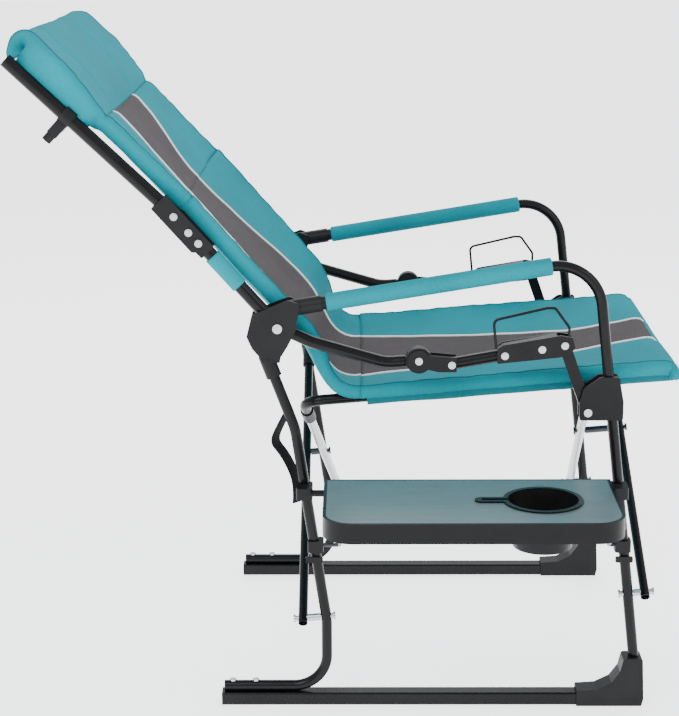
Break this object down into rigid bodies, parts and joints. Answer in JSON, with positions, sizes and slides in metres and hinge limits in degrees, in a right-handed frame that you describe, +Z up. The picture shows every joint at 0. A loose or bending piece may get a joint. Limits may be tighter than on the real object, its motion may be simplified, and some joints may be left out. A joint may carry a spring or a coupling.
{
  "type": "camp rocking chair",
  "caption": "Folding camp chair on flat skids with a reclined rocking back linkage, padded sling, arm grips and a drop-down side table with cup holder.",
  "frame": {"origin": "bottom centre of the whole object's box, on the floor", "axes": "+X the way the sitter faces, +Y to the sitter's left, +Z up"},
  "size_m": [0.9812, 0.8034, 1.0149],
  "materials": {
    "black_tube": "glossy black powder coat",
    "black_plastic": "moulded black plastic",
    "bright_steel": "bright steel",
    "silver_tube": "satin silver",
    "teal_fabric": "woven polyester, teal",
    "grip_fabric": "teal fabric over foam",
    "table_board": "grey-teal board, slightly glossy",
    "table_band": "ribbed black edge"
  },
  "bodies": {
    "base_right": {"skid_right": "black_tube", "rear_leg_right": "black_tube", "arm_tube_right": "black_tube", "arm_grip_right": "grip_fabric", "rear_bracket_right": "black_plastic", "front_foot_right": "black_plastic", "link_bracket_right": "black_plastic", "frame_bolts_right": "bright_steel", "table_hinge_bar": "black_tube", "table_clamps": "black_plastic"},
    "back_lower_right": {"back_hub_right": "black_plastic", "back_tube_lower_right": "black_tube", "rear_rail_right": "black_tube", "knee_disc_right": "black_plastic", "hinge_cover_right": "black_plastic", "back_screws_right": "bright_steel", "back_sling_lower": "teal_fabric"},
    "back_upper_right": {"back_tube_upper_right": "black_tube", "head_clamp_right": "black_plastic", "back_sling_upper": "teal_fabric"},
    "rail_front_right": {"front_rail_right": "black_tube", "knee_yoke_right": "black_plastic", "rail_bracket_right": "black_tube", "wire_handle_right": "black_tube", "rail_screws_right": "bright_steel"},
    "link_right": {"link_right": "black_tube"},
    "base_left": {"skid_left": "black_tube", "rear_leg_left": "black_tube", "arm_tube_left": "black_tube", "arm_grip_left": "grip_fabric", "rear_bracket_left": "black_plastic", "front_foot_left": "black_plastic", "link_bracket_left": "black_plastic", "frame_bolts_left": "bright_steel"},
    "back_lower_left": {"back_hub_left": "black_plastic", "back_tube_lower_left": "black_tube", "rear_rail_left": "black_tube", "knee_disc_left": "black_plastic", "hinge_cover_left": "black_plastic", "back_screws_left": "bright_steel"},
    "back_upper_left": {"back_tube_upper_left": "black_tube", "head_clamp_left": "black_plastic"},
    "rail_front_left": {"front_rail_left": "black_tube", "knee_yoke_left": "black_plastic", "rail_bracket_left": "black_tube", "wire_handle_left": "black_tube", "rail_screws_left": "bright_steel"},
    "link_left": {"link_left": "black_tube"},
    "table": {"table_top": "table_board", "table_edge": "table_band", "cup_holder": "black_plastic"},
    "table_strut": {"table_struts": "bright_steel"},
    "frame_a": {"seat_tube_left": "black_tube", "braces_left": "black_tube", "collars_left": "black_plastic", "crossing_pins": "bright_steel"},
    "frame_b": {"seat_tube_right": "black_tube", "braces_right": "silver_tube", "collars_right": "black_plastic"},
    "seat": {"seat_sling": "teal_fabric"}
  },
  "joints": [
    {"name": "side_fold", "type": "hinge", "parent": "base_right", "child": "frame_a", "pos_m": [-0.0715, -0.17125, 0.138], "axis": [0.9968, 0, 0.0802], "range_deg": [0, 42], "deforming": ["seat_sling", "back_sling_lower", "back_sling_upper"]},
    {"name": "scissor_cross", "type": "hinge", "parent": "frame_a", "child": "frame_b", "pos_m": [-0.08573, 0.10625, 0.31487], "axis": [0.9968, 0, 0.0802], "range_deg": [-84, 0]},
    {"name": "base_left_turn", "type": "hinge", "parent": "frame_b", "child": "base_left", "pos_m": [-0.0715, 0.38375, 0.138], "axis": [0.9968, 0, 0.0802], "range_deg": [0, 42]},
    {"name": "seat_level", "type": "hinge", "parent": "frame_b", "child": "seat", "pos_m": [-0.09778, -0.12875, 0.46464], "axis": [0.9968, 0, 0.0802], "range_deg": [0, 42]},
    {"name": "back_rock_right", "type": "hinge", "parent": "base_right", "child": "back_lower_right", "pos_m": [-0.1045, -0.17125, 0.592], "axis": [0, 1, 0], "range_deg": [0, 16]},
    {"name": "knee_right", "type": "hinge", "parent": "back_lower_right", "child": "rail_front_right", "pos_m": [0.1015, -0.17125, 0.542], "axis": [0, 1, 0], "range_deg": [-28, 0]},
    {"name": "link_swing_right", "type": "hinge", "parent": "base_right", "child": "link_right", "pos_m": [0.3495, -0.17125, 0.464], "axis": [0, 1, 0], "range_deg": [-18, 0]},
    {"name": "back_fold_right", "type": "hinge", "parent": "back_lower_right", "child": "back_upper_right", "pos_m": [-0.25056, -0.17125, 0.75652], "axis": [0, 1, 0], "range_deg": [0, 100], "deforming": ["back_sling_lower", "back_sling_upper"]},
    {"name": "back_rock_left", "type": "hinge", "parent": "base_left", "child": "back_lower_left", "pos_m": [-0.1045, 0.38375, 0.592], "axis": [0, 1, 0], "range_deg": [0, 16]},
    {"name": "knee_left", "type": "hinge", "parent": "back_lower_left", "child": "rail_front_left", "pos_m": [0.1015, 0.38375, 0.542], "axis": [0, 1, 0], "range_deg": [-28, 0]},
    {"name": "link_swing_left", "type": "hinge", "parent": "base_left", "child": "link_left", "pos_m": [0.3495, 0.38375, 0.464], "axis": [0, 1, 0], "range_deg": [-18, 0]},
    {"name": "back_fold_left", "type": "hinge", "parent": "back_lower_left", "child": "back_upper_left", "pos_m": [-0.25056, 0.38375, 0.75652], "axis": [0, 1, 0], "range_deg": [0, 100]},
    {"name": "table_fold", "type": "hinge", "parent": "base_right", "child": "table", "pos_m": [0.1725, -0.19375, 0.344], "axis": [1, 0, 0], "range_deg": [0, 90]},
    {"name": "strut_swing", "type": "hinge", "parent": "base_right", "child": "table_strut", "pos_m": [0.1725, -0.17125, 0.255], "axis": [1, 0, 0], "range_deg": [0, 118.5]}
  ],
  "couplings": [
    {"joint": "scissor_cross", "follows": "side_fold", "ratio": -2},
    {"joint": "base_left_turn", "follows": "side_fold", "ratio": 1},
    {"joint": "seat_level", "follows": "side_fold", "ratio": 1},
    {"joint": "knee_right", "follows": "back_rock_right", "ratio": -1.7},
    {"joint": "link_swing_right", "follows": "back_rock_right", "ratio": -1.06},
    {"joint": "back_rock_left", "follows": "back_rock_right", "ratio": 1},
    {"joint": "knee_left", "follows": "back_rock_right", "ratio": -1.7},
    {"joint": "link_swing_left", "follows": "back_rock_right", "ratio": -1.06},
    {"joint": "back_fold_left", "follows": "back_fold_right", "ratio": 1},
    {"joint": "strut_swing", "follows": "table_fold", "ratio": 1.31}
  ]
}
